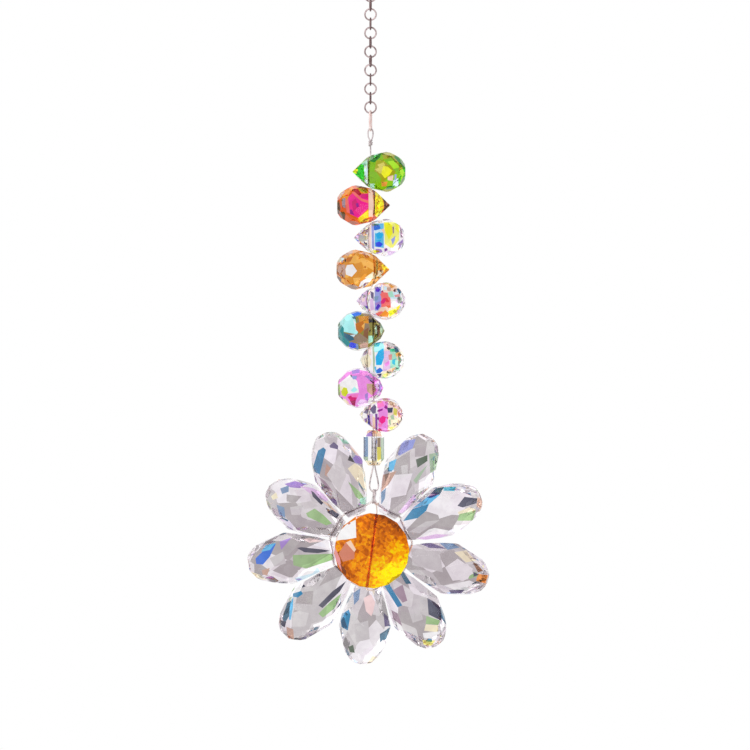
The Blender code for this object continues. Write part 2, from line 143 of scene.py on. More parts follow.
even_light = 0.94
faint_pink = (1.0, 0.985, 0.992, 1)
light = (
    even_light
    + lamp((0, 1, 0), 14, 24, -0.03)
    + lamp((-0.55, 0.62, 0.55), 20, 14, 0.3)
    + lamp((0.85, 0.45, -0.2), 10, 10, -0.4)
    + lamp((0.1, 0.5, -0.85), 16, 12, 0.3)
    + lamp((-0.85, -0.35, 0.3), 20, 14, 0.5)
    + lamp((0.9, -0.45, 0.1), 16, 14, -0.5)
    + lamp((0.45, -0.75, -0.5), 9, 4, 3.0)
    + lamp((-0.35, -0.75, 0.55), 9, 4, 2.2)
    + lamp((0.15, 0.2, 0.97), 14, 12, -0.45)
    + lamp((-0.5, -0.2, -0.85), 12, 10, -0.35)
)
seen = node(room, "ShaderNodeLightPath", output="Is Camera Ray")
strength = node(room, "ShaderNodeMix", {"Factor": seen, "A": light, "B": 1.0}, data_type="FLOAT")
tone = mixed(room, seen, faint_pink, (1, 1, 1, 1))
background = node(room, "ShaderNodeBackground", {"Color": tone, "Strength": strength})
world_output = room.nodes.new("ShaderNodeOutputWorld")
room.links.new(background.socket, world_output.inputs["Surface"])

# Hanging ring and rolo chain: closed rings of round brass wire, plated in antique copper that is worn bright
# in patches, with painted shade that darkens every other link, from the first on. Each link hangs in the last
# one, a quarter turn on, and has settled a few degrees out of true.
ring_bore = 0.013
ring_wire = 0.0012
link_width = 0.00428
link_wire = 0.00054
link_count = 14
round_the_ring = 40
round_the_wire = 12


def links_tree():
    """A run of links of round wire, one below the other, from their named sizes."""
    tree = bpy.data.node_groups.new("links", "GeometryNodeTree")
    tree.interface.new_socket("Geometry", in_out="OUTPUT", socket_type="NodeSocketGeometry")
    for name, kind in (
        ("Links", "Int"), ("Width", "Float"), ("Straight", "Float"), ("Wire", "Float"), ("First", "Vector"),
        ("Pitch", "Float"), ("First turn", "Float"), ("Turn", "Float"), ("Slack turn", "Float"),
        ("Seed", "Int"), ("Finish", "Material"),
    ):
        tree.interface.new_socket(name, in_out="INPUT", socket_type="NodeSocket" + kind)
    given = tree.nodes.new("NodeGroupInput")

    def size(name):
        return Value(tree, given.outputs[name])

    radius = (size("Width") - size("Wire")) * 0.5
    circle = node(tree, "GeometryNodeCurvePrimitiveCircle", {"Resolution": round_the_ring, "Radius": radius})
    upright = node(tree, "GeometryNodeTransform", {"Geometry": circle, "Rotation": (math.radians(90), 0, 0)})
    place = node(tree, "GeometryNodeInputPosition")
    off_the_middle = 1e-7
    height = node(tree, "ShaderNodeSeparateXYZ", {"Vector": place}, output="Z") + off_the_middle
    half_straight = height.math("SIGN", height) * size("Straight") * 0.5
    stretch = node(tree, "ShaderNodeCombineXYZ", {"Z": half_straight})
    link = node(tree, "GeometryNodeSetPosition", {"Geometry": upright, "Offset": stretch})
    wire_radius = size("Wire") * 0.5
    section = node(
        tree, "GeometryNodeCurvePrimitiveCircle", {"Resolution": round_the_wire, "Radius": wire_radius}
    )
    tube = node(tree, "GeometryNodeCurveToMesh", {"Curve": link, "Profile Curve": section})
    smooth = node(tree, "GeometryNodeSetShadeSmooth", {"Geometry": tube})
    drop = node(tree, "ShaderNodeCombineXYZ", {"Z": 0.0 - size("Pitch")})
    line = {"Count": size("Links"), "Start Location": size("First"), "Offset": drop}
    places = node(tree, "GeometryNodeMeshLine", line)
    index = node(tree, "GeometryNodeInputIndex")
    slack = node(
        tree,
        "FunctionNodeRandomValue",
        {2: 0.0 - size("Slack turn"), 3: size("Slack turn"), "ID": index, "Seed": size("Seed")},
        output=1,
        data_type="FLOAT",
    )
    turn = node(tree, "ShaderNodeCombineXYZ", {"Z": size("First turn") + index * size("Turn") + slack})
    hung = node(
        tree, "GeometryNodeInstanceOnPoints", {"Points": places, "Instance": smooth, "Rotation": turn}
    )
    # Every other link, from the first on, is marked to take painted shade.
    painted_link_shade = node(
        tree,
        "GeometryNodeStoreNamedAttribute",
        {"Geometry": hung, "Name": "painted_link_shade", "Value": (index + 1).math("MODULO", index + 1, 2)},
        data_type="FLOAT",
        domain="INSTANCE",
    )
    made = node(tree, "GeometryNodeRealizeInstances", {"Geometry": painted_link_shade})
    finished = node(tree, "GeometryNodeSetMaterial", {"Geometry": made, "Material": size("Finish")})
    result = tree.nodes.new("NodeGroupOutput")
    tree.links.new(finished.socket, result.inputs["Geometry"])
    return tree


def apply_modifiers(made):
    mesh = bpy.data.meshes.new_from_object(made.evaluated_get(bpy.context.evaluated_depsgraph_get()))
    made.modifiers.clear()
    made.data = mesh


def make_links(name, sizes, cad_nodes):
    """Links from their tree as one plain mesh, in the place of their CAD nodes."""
    made = bpy.data.objects.new(name, bpy.data.meshes.new(name))
    scene.collection.objects.link(made)
    grow = made.modifiers.new("links", "NODES")
    grow.node_group = links_of_wire
    for socket in links_of_wire.interface.items_tree:
        if socket.name in sizes:
            grow[socket.identifier] = sizes[socket.name]
    made.update_tag()
    apply_modifiers(made)
    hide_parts(*cad_nodes)
    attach(made, "root")


def principled(name):
    made = bpy.data.materials.new(name)
    made.use_nodes = True
    return made, made.node_tree, made.node_tree.nodes["Principled BSDF"]


def plated(name, bright, dull, roughness, patch, painted_link_shade=None):
    """Plated wire with bright and dull patches of that size in metres, fine marks, and any painted shade
    given for every other link.
    """
    painted_shade_share = 0.8
    rougher_where_dull = 0.14
    marks_to_a_patch = 6
    mark_depth = 0.00001
    made, tree, shader = principled(name)
    place = node(tree, "ShaderNodeTexCoord", output="Object")
    cloud = node(tree, "ShaderNodeTexNoise", {"Vector": place, "Scale": 1 / patch, "Detail": 3.0})
    wear = ramped(tree, cloud, 0.36, 0.64, 0.0, 1.0)
    colour = mixed(tree, wear, (*dull, 1), (*bright, 1))
    # Painted shade: the marked links are darkened towards the given colour.
    if painted_link_shade:
        shaded_link = node(tree, "ShaderNodeAttribute", output="Fac", attribute_name="painted_link_shade")
        colour = mixed(tree, shaded_link * painted_shade_share, colour, (*painted_link_shade, 1))
    finer = marks_to_a_patch / patch
    marks = node(tree, "ShaderNodeTexNoise", {"Vector": place, "Scale": finer, "Detail": 4.0})
    tree.links.new(colour.socket, shader.inputs["Base Color"])
    tree.links.new((roughness + rougher_where_dull * (1.0 - wear)).socket, shader.inputs["Roughness"])
    bump = node(tree, "ShaderNodeBump", {"Strength": 0.25, "Distance": mark_depth, "Height": marks})
    tree.links.new(bump.socket, shader.inputs["Normal"])
    shader.inputs["Metallic"].default_value = 1.0
    return made


links_of_wire = links_tree()
antique_copper = plated(
    "antique_copper", (0.62, 0.50, 0.50), (0.30, 0.22, 0.22), 0.3, 0.0012, painted_link_shade=(0.13, 0.07, 0.07)
)
make_links(
    "hanging_ring_wire",
    {
        "Links": 1,
        "Width": ring_bore + 2 * ring_wire,
        "Wire": ring_wire,
        "First": (0, 0, -ring_bore / 2),
        "Finish": antique_copper,
    },
    ["hanging_ring"],
)
chain_nodes = [f"chain_link_{k + 1:02d}" for k in range(link_count)]
first_low, first_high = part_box(chain_nodes[0])
last_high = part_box(chain_nodes[-1])[1]
make_links(
    "rolo_chain",
    {
        "Links": link_count,
        "Width": link_width,
        "Wire": link_wire,
        "First": tuple((first_low + first_high) / 2),
        "Pitch": (first_high.z - last_high.z) / (link_count - 1),
        "First turn": math.radians(90),
        "Turn": math.radians(90),
        "Slack turn": math.radians(8),
        "Seed": 4,
        "Finish": antique_copper,
    },
    chain_nodes,
)

# Connector: an oblong link of bright pinkish copper, seen nearly edge on, between the chain and the eye of
# the strand wire.
connector_width = 0.0034
connector_wire = 0.00065
bright_copper = plated("bright_copper", (0.91, 0.77, 0.74), (0.82, 0.61, 0.57), 0.3, 0.0016)
make_links(
    "connector",
    {
        "Links": 1,
        "Width": connector_width,
        "Straight": connector_high.z - connector_low.z - connector_width,
        "Wire": connector_wire,
        "First": tuple(connector),
        "First turn": math.radians(80),
        "Finish": bright_copper,
    },
    ["connector_link"],
)

# Strand wire: one plated wire with a wrapped eye in the connector, straight through the drops and the tube
# bead, and a kite-shaped loop below that comes back up into the tube bead.
strand_swell = 0.00005


def cad_body(cad_node):
    """A CAD solid's own form, with its corners joined up."""
    body = bmesh.new()
    body.from_mesh(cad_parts[cad_node].data)
    bmesh.ops.remove_doubles(body, verts=body.verts, dist=1e-6)
    return body


def drawn_wire(name, cad_node, swell, finish):
    """A CAD wire made truly round. It is swollen first by what rounding takes off."""
    body = cad_body(cad_node)
    bmesh.ops.join_triangles(
        body, faces=body.faces, angle_face_threshold=math.radians(12), angle_shape_threshold=math.radians(60)
    )
    body.normal_update()
    for corner in body.verts:
        corner.co += corner.normal * swell
    mesh = bpy.data.meshes.new(name)
    body.to_mesh(mesh)
    body.free()
    made = bpy.data.objects.new(name, mesh)
    scene.collection.objects.link(made)
    rounding = made.modifiers.new("rounding", "SUBSURF")
    rounding.levels = 1
    rounding.render_levels = 1
    apply_modifiers(made)
    made.data.shade_smooth()
    made.data.materials.clear()
    made.data.materials.append(finish)
    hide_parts(cad_node)
    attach(made, "root")


silvery_wire = plated("silvery_wire", (0.80, 0.72, 0.72), (0.42, 0.36, 0.37), 0.26, 0.0014)
drawn_wire("strand", "strand_wire", strand_swell, silvery_wire)

# Drops: nine faceted teardrops of cut and polished glass, strung alternately to the right and to the left.
# Their facets have thin vapour coats. The patches paint the coats' colours together with painted highlights,
# painted reflections and painted shade; their outlines are read off three enlarged front views, in units of
# 47 to a millimetre.
# Named facet colours: the coats' own colours, and those of painted highlights, painted reflections and
# painted shade.
coat_and_painted_light_colours = {  # red, green and blue as a screen shows them
    "white": (255, 254, 255), "clear": (243, 240, 248), "pearl": (234, 230, 233), "haze": (217, 214, 214),
    "fog": (203, 199, 200), "ash": (180, 174, 175), "steel": (122, 152, 186), "slate": (62, 62, 86),
    "navy": (60, 64, 92), "ink": (34, 24, 40), "ice": (205, 232, 242), "aqua": (172, 248, 255),
    "sky": (92, 188, 234), "azure": (0, 176, 236), "pool": (50, 188, 214), "teal": (0, 128, 174),
    "blue": (34, 108, 216), "cobalt": (44, 74, 232), "indigo": (74, 26, 188), "petrol": (48, 104, 130),
    "lagoon": (0, 142, 146), "mint": (168, 226, 200), "jade": (66, 214, 160), "emerald": (18, 208, 24),
    "forest": (8, 132, 24), "leaf": (132, 192, 14), "lime": (174, 238, 20), "chartreuse": (206, 216, 0),
    "green": (152, 190, 128), "moss": (80, 100, 78), "sage": (166, 192, 162), "periwinkle": (150, 160, 222),
    "violet": (164, 130, 206), "grape": (130, 60, 160), "lilac": (224, 192, 230), "orchid": (236, 142, 226),
    "dusk": (104, 92, 132), "plum": (150, 0, 142), "rose": (226, 150, 150), "pink": (246, 122, 196),
    "magenta": (252, 0, 142), "fuchsia": (216, 0, 116), "cherry": (180, 4, 44), "wine": (164, 0, 86),
    "red": (226, 44, 60), "coral": (255, 110, 104), "blush": (246, 216, 212), "mauve": (162, 138, 154),
    "taupe": (150, 128, 106), "tan": (196, 158, 140), "peach": (241, 206, 182), "apricot": (248, 182, 86),
    "ochre": (222, 148, 44), "gold": (255, 214, 0), "yellow": (253, 243, 0), "lemon": (250, 250, 122),
    "cream": (244, 234, 200), "straw": (216, 206, 92), "olive": (166, 166, 10), "khaki": (142, 134, 60),
    "orange": (252, 150, 30), "rust": (222, 94, 20), "burnt": (196, 112, 10), "brown": (134, 88, 56),
    "umber": (96, 62, 26), "copper": (206, 126, 100), "cola": (120, 52, 0), "cognac": (190, 92, 0),
    "amber": (234, 130, 4), "honey": (252, 166, 4),
}


def tint(name, fade=0.0):
    """The base colour of a facet through which a pale room looks like the named colour, or that much paler.

    Screen values become light, and are squared, as a facet lets through the root of its base colour.
    """
    room_light = 0.9
    made = []
    for part in coat_and_painted_light_colours[name]:
        share = part / 255
        linear = share / 12.92 if share <= 0.04045 else ((share + 0.055) / 1.055) ** 2.4
        made.append(min(1.0, linear / room_light * (1 - fade) + fade) ** 2)
    return (*made, 1)


def polished(tree, shader, colour, ior, gloss):
    """Smooth glass of that colour, with its surface shine dimmed to that share."""
    tree.links.new(colour.socket, shader.inputs["Base Color"])
    shader.inputs["Specular Tint"].default_value = (gloss, gloss, gloss, 1)
    shader.inputs["Roughness"].default_value = 0.0
    shader.inputs["IOR"].default_value = ior
    shader.inputs["Transmission Weight"].default_value = 1.0


def cut_glass(name, ior=1.54, gloss=0.2, paler=0.0005, darker=(0.86, 0.85, 0.86, 1)):
    """Polished glass that takes each facet's colour of coat and painted light, a trace paler in places and
    darker in faint clouds.
    """
    dark_clouds = 330.0
    pale_clouds = 210.0
    made, tree, shader = principled(name)
    coat_and_painted_light = node(tree, "ShaderNodeAttribute", attribute_name="coat_and_painted_light")
    place = node(tree, "ShaderNodeTexCoord", output="Object")
    cloud = node(tree, "ShaderNodeTexNoise", {"Vector": place, "Scale": dark_clouds, "Detail": 2.0})
    depth = ramped(tree, cloud, 0.35, 0.65, 0.0, 1.0)
    thin = node(tree, "ShaderNodeTexNoise", {"Vector": place, "Scale": pale_clouds, "Detail": 1.0})
    thinner = ramped(tree, thin, 0.4, 0.68, 0.0, paler)
    colour = mixed(tree, depth, mixed(tree, thinner, coat_and_painted_light, (1, 1, 1, 1)), darker, "MULTIPLY")
    polished(tree, shader, colour, ior, gloss)
    return made


def lay_coat_and_painted_light(body, layer, outline, coat_and_painted_light, fade):
    """Parts the front facets along a patch's convex outline. What lies inside takes the patch's colour, which
    is a coat's own colour for some patches and painted light and shade for others.

    The colour is paler towards the outline's first corner.
    """
    to_the_front = -0.03
    longest_facet = 0.006
    on_the_line = 1e-6
    middle = sum(outline, Vector()) / len(outline)
    reach = max((corner - middle).length for corner in outline)
    near = reach + longest_facet
    inside = [
        face for face in body.faces
        if face.normal.y < to_the_front
        and min(Vector((v.co.x - middle.x, 0, v.co.z - middle.z)).length for v in face.verts) < near
    ]
    for start, end in zip(outline, [*outline[1:], outline[0]]):
        out = Vector((end.z - start.z, 0, start.x - end.x)).normalized()
        if (middle - start).dot(out) > 0:
            out.negate()
        inside = [face for face in inside if min((v.co - start).dot(out) for v in face.verts) < -on_the_line]
        crossing = [face for face in inside if max((v.co - start).dot(out) for v in face.verts) > on_the_line]
        if crossing:
            whole = [face for face in inside if face not in crossing]
            lines = {edge for face in crossing for edge in face.edges}
            corners = {corner for face in crossing for corner in face.verts}
            parted = bmesh.ops.bisect_plane(
                body, geom=[*crossing, *lines, *corners], dist=1e-7, plane_co=start, plane_no=out
            )
            parts = {part for part in parted["geom"] if isinstance(part, bmesh.types.BMFace)}
            parts |= set(crossing)
            inside = whole + [
                face for face in parts if face.is_valid and (face.calc_center_median() - start).dot(out) < 0
            ]
    for face in inside:
        for corner in face.loops:
            towards = (corner.vert.co - middle).dot(outline[0] - middle) / reach**2
            corner[layer] = tint(coat_and_painted_light, fade * (1 + max(-1, min(1, towards))))


def cut_stone(cad_node, finish, plain, seed, drawing, patches, outer, back=("white",), fade=0.02):
    """A CAD stone with its facets made whole and coloured, in plain coats at random and then by the drawing.

    A drawing is (units to a metre, middle line, hook's height above the top edge), and a patch is a colour
    and its outline, x and y in turn; the patches hold coats' own colours and painted highlights, painted
    reflections and painted shade. The flatter front facets take the plain coats, the ones round them the
    outer ones and the rest the back ones. With no coats given, a facet's colour is left empty.
    """
    flat_to_the_front = -0.72
    to_the_front = -0.2
    units, middle, top = drawing
    body = cad_body(cad_node)
    bmesh.ops.dissolve_limit(body, angle_limit=math.radians(0.6), verts=body.verts, edges=body.edges)
    body.normal_update()
    layer = body.loops.layers.float_color.new("coat_and_painted_light")
    draw = random.Random(seed)
    for face in body.faces:
        facing = face.normal.y
        choice = plain if facing < flat_to_the_front else outer if facing < to_the_front else back
        colour = tint(draw.choice(choice)) if choice else (0, 0, 0, 0)
        for corner in face.loops:
            corner[layer] = colour
    for coat_and_painted_light, *places in patches:
        corners = zip(places[::2], places[1::2])
        outline = [Vector(((x - middle) / units, 0, -(y + top) / units)) for x, y in corners]
        lay_coat_and_painted_light(body, layer, outline, coat_and_painted_light, fade)
    mesh = bpy.data.meshes.new("cut_" + cad_node)
    body.to_mesh(mesh)
    body.free()
    mesh.materials.append(finish)
    made = bpy.data.objects.new("cut_" + cad_node, mesh)
    scene.collection.objects.link(made)
    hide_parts(cad_node)
    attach(made, "root")


drop_units = 47040
drop_middle = 792
drop_top = 3167.4
drop_sheet = 1489.6  # from one front view down to the next


def cut_drop(number, colour, sheet, plain, patches):
    """Cuts a drop of that colour, with its patches read off that front view of the three."""
    slot = "glass_" + colour
    finish = bpy.data.materials.get("cut_" + slot) or cut_glass("cut_" + slot)
    drawing = (drop_units, drop_middle, drop_top + sheet * drop_sheet)
    outer = ("white", "clear") if colour == "clear" else plain
    cut_stone(f"drop_{number}_{colour}", finish, plain, 39 + number, drawing, patches, outer)


# Each drop's patches mix coat colours with painted highlights, painted reflections and painted shade.
cut_drop(1, "green", 0, ("leaf", "leaf", "olive"), (
    ("emerald", 515, 430, 650, 295, 690, 310, 690, 585), ("yellow", 500, 420, 560, 365, 600, 390, 570, 455),
    ("mint", 640, 300, 750, 220, 750, 330, 690, 320), ("ice", 690, 325, 750, 320, 750, 630, 700, 570),
    ("moss", 680, 580, 760, 620, 750, 660), ("forest", 800, 170, 960, 135, 940, 205, 850, 285, 780, 260),
    ("mint", 870, 118, 970, 108, 900, 160, 830, 172), ("olive", 960, 110, 1150, 110, 1170, 195, 1000, 235),
    ("straw", 900, 320, 1000, 280, 1020, 330, 940, 375), ("straw", 860, 390, 980, 340, 1000, 440, 940, 460),
    ("yellow", 990, 340, 1060, 350, 1160, 430, 1090, 480, 1040, 560, 960, 460),
    ("lime", 1060, 270, 1150, 250, 1250, 350, 1160, 395),
    ("forest", 1120, 205, 1210, 160, 1320, 320, 1310, 375, 1240, 290),
    ("leaf", 1140, 390, 1240, 360, 1230, 425, 1180, 425),
    ("lime", 1250, 400, 1330, 370, 1330, 480, 1240, 560),
    ("leaf", 780, 420, 880, 430, 960, 540, 940, 640, 790, 600),
    ("mint", 780, 610, 860, 615, 850, 690, 790, 680), ("peach", 1060, 510, 1150, 480, 1140, 570, 1060, 560),
    ("ochre", 965, 590, 1060, 580, 1040, 655, 965, 655),
    ("ice", 1160, 450, 1220, 440, 1235, 650, 1120, 650, 1060, 600, 1150, 560),
    ("periwinkle", 1172, 470, 1200, 470, 1192, 560, 1168, 560),
    ("forest", 1050, 655, 1180, 635, 1150, 685, 1030, 705), ("khaki", 744, 180, 764, 180, 760, 645, 746, 645),
    ("emerald", 1230, 560, 1270, 500, 1265, 560, 1225, 610),
))
cut_drop(2, "ruby", 0, ("rust", "rust", "orange"), (
    ("magenta", 440, 830, 520, 755, 760, 800, 760, 1000, 600, 1150, 470, 1090),
    ("fuchsia", 500, 900, 560, 850, 610, 960, 520, 1060), ("plum", 558, 930, 602, 915, 612, 975, 580, 990),
    ("plum", 440, 1020, 500, 1020, 540, 1105, 470, 1085),
    ("cherry", 520, 700, 600, 690, 650, 780, 620, 805, 540, 750),
    ("fuchsia", 640, 775, 760, 765, 760, 850, 650, 845),
    ("coral", 495, 745, 545, 742, 655, 850, 635, 880, 560, 815),
    ("coral", 640, 845, 760, 880, 760, 925, 640, 882), ("olive", 600, 685, 745, 700, 745, 765, 650, 745),
    ("brown", 540, 640, 700, 640, 745, 695, 600, 682), ("orange", 380, 790, 500, 650, 525, 690, 420, 830),
    ("coral", 400, 880, 440, 840, 472, 1080, 420, 1060), ("mauve", 345, 850, 400, 830, 400, 1000, 350, 970),
    ("umber", 255, 920, 330, 835, 348, 960, 325, 1010, 345, 1110, 280, 1080),
    ("umber", 300, 1060, 380, 1050, 425, 1135, 370, 1180),
    ("rust", 400, 1090, 560, 1160, 620, 1215, 520, 1250, 390, 1170),
    ("gold", 600, 1150, 760, 1025, 760, 1200, 640, 1215), ("lilac", 280, 800, 370, 690, 385, 740, 310, 835),
    ("peach", 760, 680, 822, 690, 852, 900, 832, 1130, 765, 1130),
    ("brown", 825, 700, 865, 710, 882, 900, 855, 900), ("brown", 855, 900, 882, 900, 862, 1090, 832, 1090),
    ("yellow", 865, 700, 935, 710, 1000, 880, 990, 1005, 930, 1150, 862, 1110),
    ("umber", 1000, 820, 1130, 915, 1000, 1050), ("tan", 1030, 885, 1085, 900, 1040, 962),
    ("khaki", 925, 720, 1010, 850, 992, 885, 940, 775),
))
cut_drop(3, "clear", 0, ("clear", "white"), (
    ("sky", 858, 1235, 1000, 1235, 1000, 1620, 858, 1600),
    ("lemon", 1000, 1212, 1250, 1212, 1236, 1500, 1140, 1622, 1020, 1562),
    ("lilac", 520, 1445, 600, 1355, 640, 1400, 600, 1480),
    ("mauve", 630, 1390, 690, 1335, 760, 1310, 750, 1370, 660, 1402),
    ("cream", 690, 1420, 750, 1400, 762, 1480, 700, 1492),
    ("lilac", 570, 1500, 640, 1530, 725, 1610, 640, 1590),
    ("dusk", 682, 1510, 742, 1540, 742, 1582, 690, 1540),
    ("blush", 760, 1240, 802, 1230, 802, 1650, 765, 1610),
    ("periwinkle", 805, 1230, 842, 1220, 852, 1650, 815, 1620),
    ("blue", 842, 1235, 930, 1258, 952, 1310, 900, 1350, 846, 1342),
    ("ice", 850, 1350, 950, 1325, 1000, 1372, 870, 1392),
    ("azure", 870, 1402, 930, 1370, 992, 1410, 962, 1472, 898, 1482),
    ("cobalt", 868, 1540, 930, 1518, 988, 1560, 950, 1604, 880, 1598),
    ("peach", 960, 1330, 1000, 1318, 1022, 1370, 1000, 1402),
    ("yellow", 1000, 1240, 1060, 1215, 1132, 1258, 1142, 1380, 1080, 1492, 1020, 1362),
    ("yellow", 1172, 1212, 1222, 1196, 1244, 1300, 1230, 1384, 1190, 1332),
    ("mauve", 1132, 1290, 1160, 1280, 1160, 1384, 1142, 1402),
    ("lemon", 1010, 1502, 1060, 1488, 1132, 1592, 1112, 1622, 1020, 1562),
    ("periwinkle", 1112, 1490, 1182, 1428, 1172, 1502, 1140, 1572),
    ("violet", 1230, 1545, 1295, 1480, 1305, 1520, 1250, 1630),
    ("mauve", 960, 1158, 1100, 1138, 1152, 1165, 1000, 1188),
    ("steel", 800, 1178, 930, 1152, 900, 1202, 820, 1222),
    ("violet", 868, 1630, 962, 1640, 982, 1682, 888, 1712),
    ("lilac", 1050, 1670, 1195, 1665, 1120, 1730, 1070, 1730),
    ("grape", 1010, 1632, 1050, 1620, 1062, 1652, 1012, 1682),
    ("mauve", 1252, 1290, 1285, 1320, 1300, 1455, 1262, 1455),
    ("azure", 880, 1500, 950, 1492, 960, 1516, 890, 1520),
))
cut_drop(4, "champagne", 1, ("apricot", "ochre"), (
    ("tan", 310, 225, 370, 170, 500, 140, 520, 190, 440, 252),
    ("ochre", 500, 140, 620, 120, 765, 185, 640, 232, 520, 202),
    ("peach", 600, 205, 700, 190, 800, 230, 780, 252), ("ice", 235, 340, 320, 260, 382, 290, 350, 355),
    ("umber", 382, 300, 412, 290, 412, 342, 390, 358), ("burnt", 420, 290, 522, 258, 480, 342, 420, 352),
    ("apricot", 640, 330, 740, 310, 842, 370, 842, 482, 700, 402),
    ("burnt", 690, 420, 722, 408, 724, 442, 700, 452),
    ("ochre", 540, 380, 650, 350, 690, 440, 640, 530, 580, 480),
    ("burnt", 700, 262, 770, 258, 760, 290, 710, 290),
    ("tan", 215, 380, 400, 390, 402, 545, 380, 600, 240, 520),
    ("white", 400, 462, 422, 398, 512, 388, 582, 490, 500, 582, 410, 546),
    ("umber", 255, 550, 332, 600, 334, 670, 285, 620), ("ochre", 360, 590, 500, 600, 522, 682, 400, 702),
    ("apricot", 520, 600, 640, 592, 600, 702, 540, 692), ("tan", 390, 700, 540, 702, 630, 745, 510, 778),
    ("white", 610, 735, 640, 660, 852, 530, 800, 640, 680, 752),
    ("cream", 700, 600, 832, 502, 902, 560, 862, 612), ("khaki", 884, 300, 906, 320, 906, 462, 886, 462),
    ("khaki", 886, 462, 906, 462, 872, 612, 858, 612), ("ochre", 800, 230, 872, 230, 985, 332, 900, 322),
    ("brown", 895, 245, 1002, 342, 985, 352, 915, 300), ("gold", 958, 400, 1040, 350, 1095, 410, 1000, 485),
    ("cream", 910, 482, 1000, 480, 962, 582, 900, 572),
))
cut_drop(5, "clear", 1, ("clear", "white"), (
    ("periwinkle", 858, 735, 960, 735, 960, 1110, 858, 1110),
    ("coral", 960, 820, 1100, 830, 1112, 1090, 960, 1064),
    ("ice", 1100, 800, 1265, 800, 1265, 930, 1100, 930), ("peach", 990, 640, 1205, 640, 1205, 815, 990, 815),
    ("cream", 1060, 1075, 1245, 1025, 1205, 1205, 1060, 1215),
    ("peach", 950, 1060, 1080, 1040, 1080, 1100, 930, 1190, 900, 1130),
    ("lilac", 530, 920, 640, 835, 742, 750, 742, 1070, 640, 1015),
    ("mauve", 600, 900, 642, 870, 652, 930, 620, 952), ("blush", 652, 920, 702, 900, 702, 962, 662, 972),
    ("grape", 700, 780, 752, 745, 752, 802, 720, 822), ("indigo", 710, 1030, 752, 1040, 752, 1090, 715, 1062),
    ("dusk", 790, 800, 842, 830, 842, 962, 800, 902), ("lilac", 780, 930, 832, 920, 852, 1095, 790, 1110),
    ("indigo", 868, 760, 900, 738, 948, 780, 920, 822, 875, 812), ("wine", 948, 822, 982, 788, 998, 824),
    ("steel", 850, 890, 922, 880, 900, 952, 850, 962), ("coral", 940, 850, 1000, 830, 1022, 902, 960, 902),
    ("fuchsia", 948, 972, 1000, 912, 1052, 930, 1002, 1002, 962, 1008),
    ("red", 1010, 908, 1052, 914, 1092, 982, 1040, 982),
    ("coral", 1000, 1002, 1082, 980, 1112, 1022, 1010, 1024), ("rust", 1020, 1030, 1102, 1030, 1080, 1078),
    ("violet", 860, 1000, 950, 960, 962, 1012, 880, 1032),
    ("indigo", 868, 1072, 910, 1003, 948, 1035, 900, 1104),
    ("coral", 868, 1152, 962, 1120, 1002, 1130, 910, 1200),
    ("orange", 920, 1200, 1022, 1100, 1082, 1150, 1060, 1215),
    ("yellow", 1068, 1120, 1182, 1080, 1210, 1130, 1090, 1205),
    ("chartreuse", 1080, 1152, 1132, 1140, 1110, 1182),
    ("gold", 1198, 1060, 1262, 1010, 1240, 1090, 1195, 1115),
    ("white", 1110, 960, 1150, 928, 1212, 950, 1222, 1042, 1150, 1062),
    ("sage", 1210, 900, 1285, 905, 1280, 990, 1215, 1002),
    ("petrol", 1195, 770, 1230, 755, 1278, 820, 1250, 855),
    ("mint", 1060, 830, 1130, 800, 1162, 902, 1080, 902),
    ("rose", 1160, 870, 1240, 850, 1262, 890, 1180, 902),
    ("ochre", 1070, 702, 1130, 655, 1202, 720, 1120, 762),
    ("tan", 1040, 750, 1112, 740, 1112, 802, 1060, 802), ("straw", 980, 640, 1060, 630, 1082, 692, 1010, 692),
    ("rose", 850, 660, 940, 630, 962, 692, 880, 692), ("ice", 1000, 720, 1052, 740, 1042, 802, 1000, 782),
))
cut_drop(6, "smoke", 1, ("taupe", "khaki"), (
    ("aqua", 275, 1300, 370, 1140, 510, 1070, 602, 1440, 542, 1540, 378, 1440, 280, 1420),
    ("white", 520, 1240, 560, 1300, 600, 1440, 560, 1422),
    ("blue", 480, 1150, 520, 1088, 662, 1100, 642, 1170, 540, 1204),
    ("grape", 520, 1070, 740, 1090, 762, 1130, 620, 1118),
    ("petrol", 500, 1202, 562, 1190, 562, 1236, 520, 1236),
    ("taupe", 640, 1150, 760, 1130, 902, 1210, 760, 1250, 700, 1192),
    ("ochre", 600, 1202, 762, 1190, 762, 1312, 620, 1292),
    ("burnt", 556, 1310, 682, 1268, 692, 1402, 620, 1474, 565, 1402),
    ("apricot", 650, 1352, 702, 1300, 692, 1402), ("brown", 690, 1420, 762, 1370, 752, 1562, 680, 1502),
    ("ink", 758, 1242, 842, 1242, 884, 1292, 770, 1298),
    ("khaki", 770, 1310, 872, 1310, 862, 1472, 790, 1482),
    ("sage", 860, 1330, 902, 1340, 892, 1472, 860, 1462),
    ("umber", 890, 1340, 946, 1330, 932, 1502, 900, 1545),
    ("sage", 950, 1300, 1010, 1380, 962, 1490, 940, 1422),
    ("mauve", 800, 1160, 882, 1180, 975, 1280, 930, 1302, 840, 1232),
    ("taupe", 540, 1540, 620, 1460, 762, 1560, 700, 1642, 560, 1602),
    ("mint", 760, 1502, 852, 1500, 832, 1592, 760, 1622), ("tan", 620, 1640, 762, 1600, 745, 1690, 630, 1690),
    ("lagoon", 255, 1440, 330, 1325, 374, 1380, 372, 1482, 340, 1602, 275, 1560),
    ("lagoon", 285, 1542, 372, 1488, 475, 1622, 420, 1680, 330, 1630),
    ("petrol", 370, 1450, 500, 1500, 542, 1560, 450, 1592, 380, 1522),
    ("ice", 470, 1492, 562, 1478, 532, 1522),
    ("cobalt", 450, 1652, 480, 1600, 592, 1630, 560, 1692, 480, 1712),
    ("steel", 560, 1622, 602, 1640, 602, 1712, 570, 1712),
))
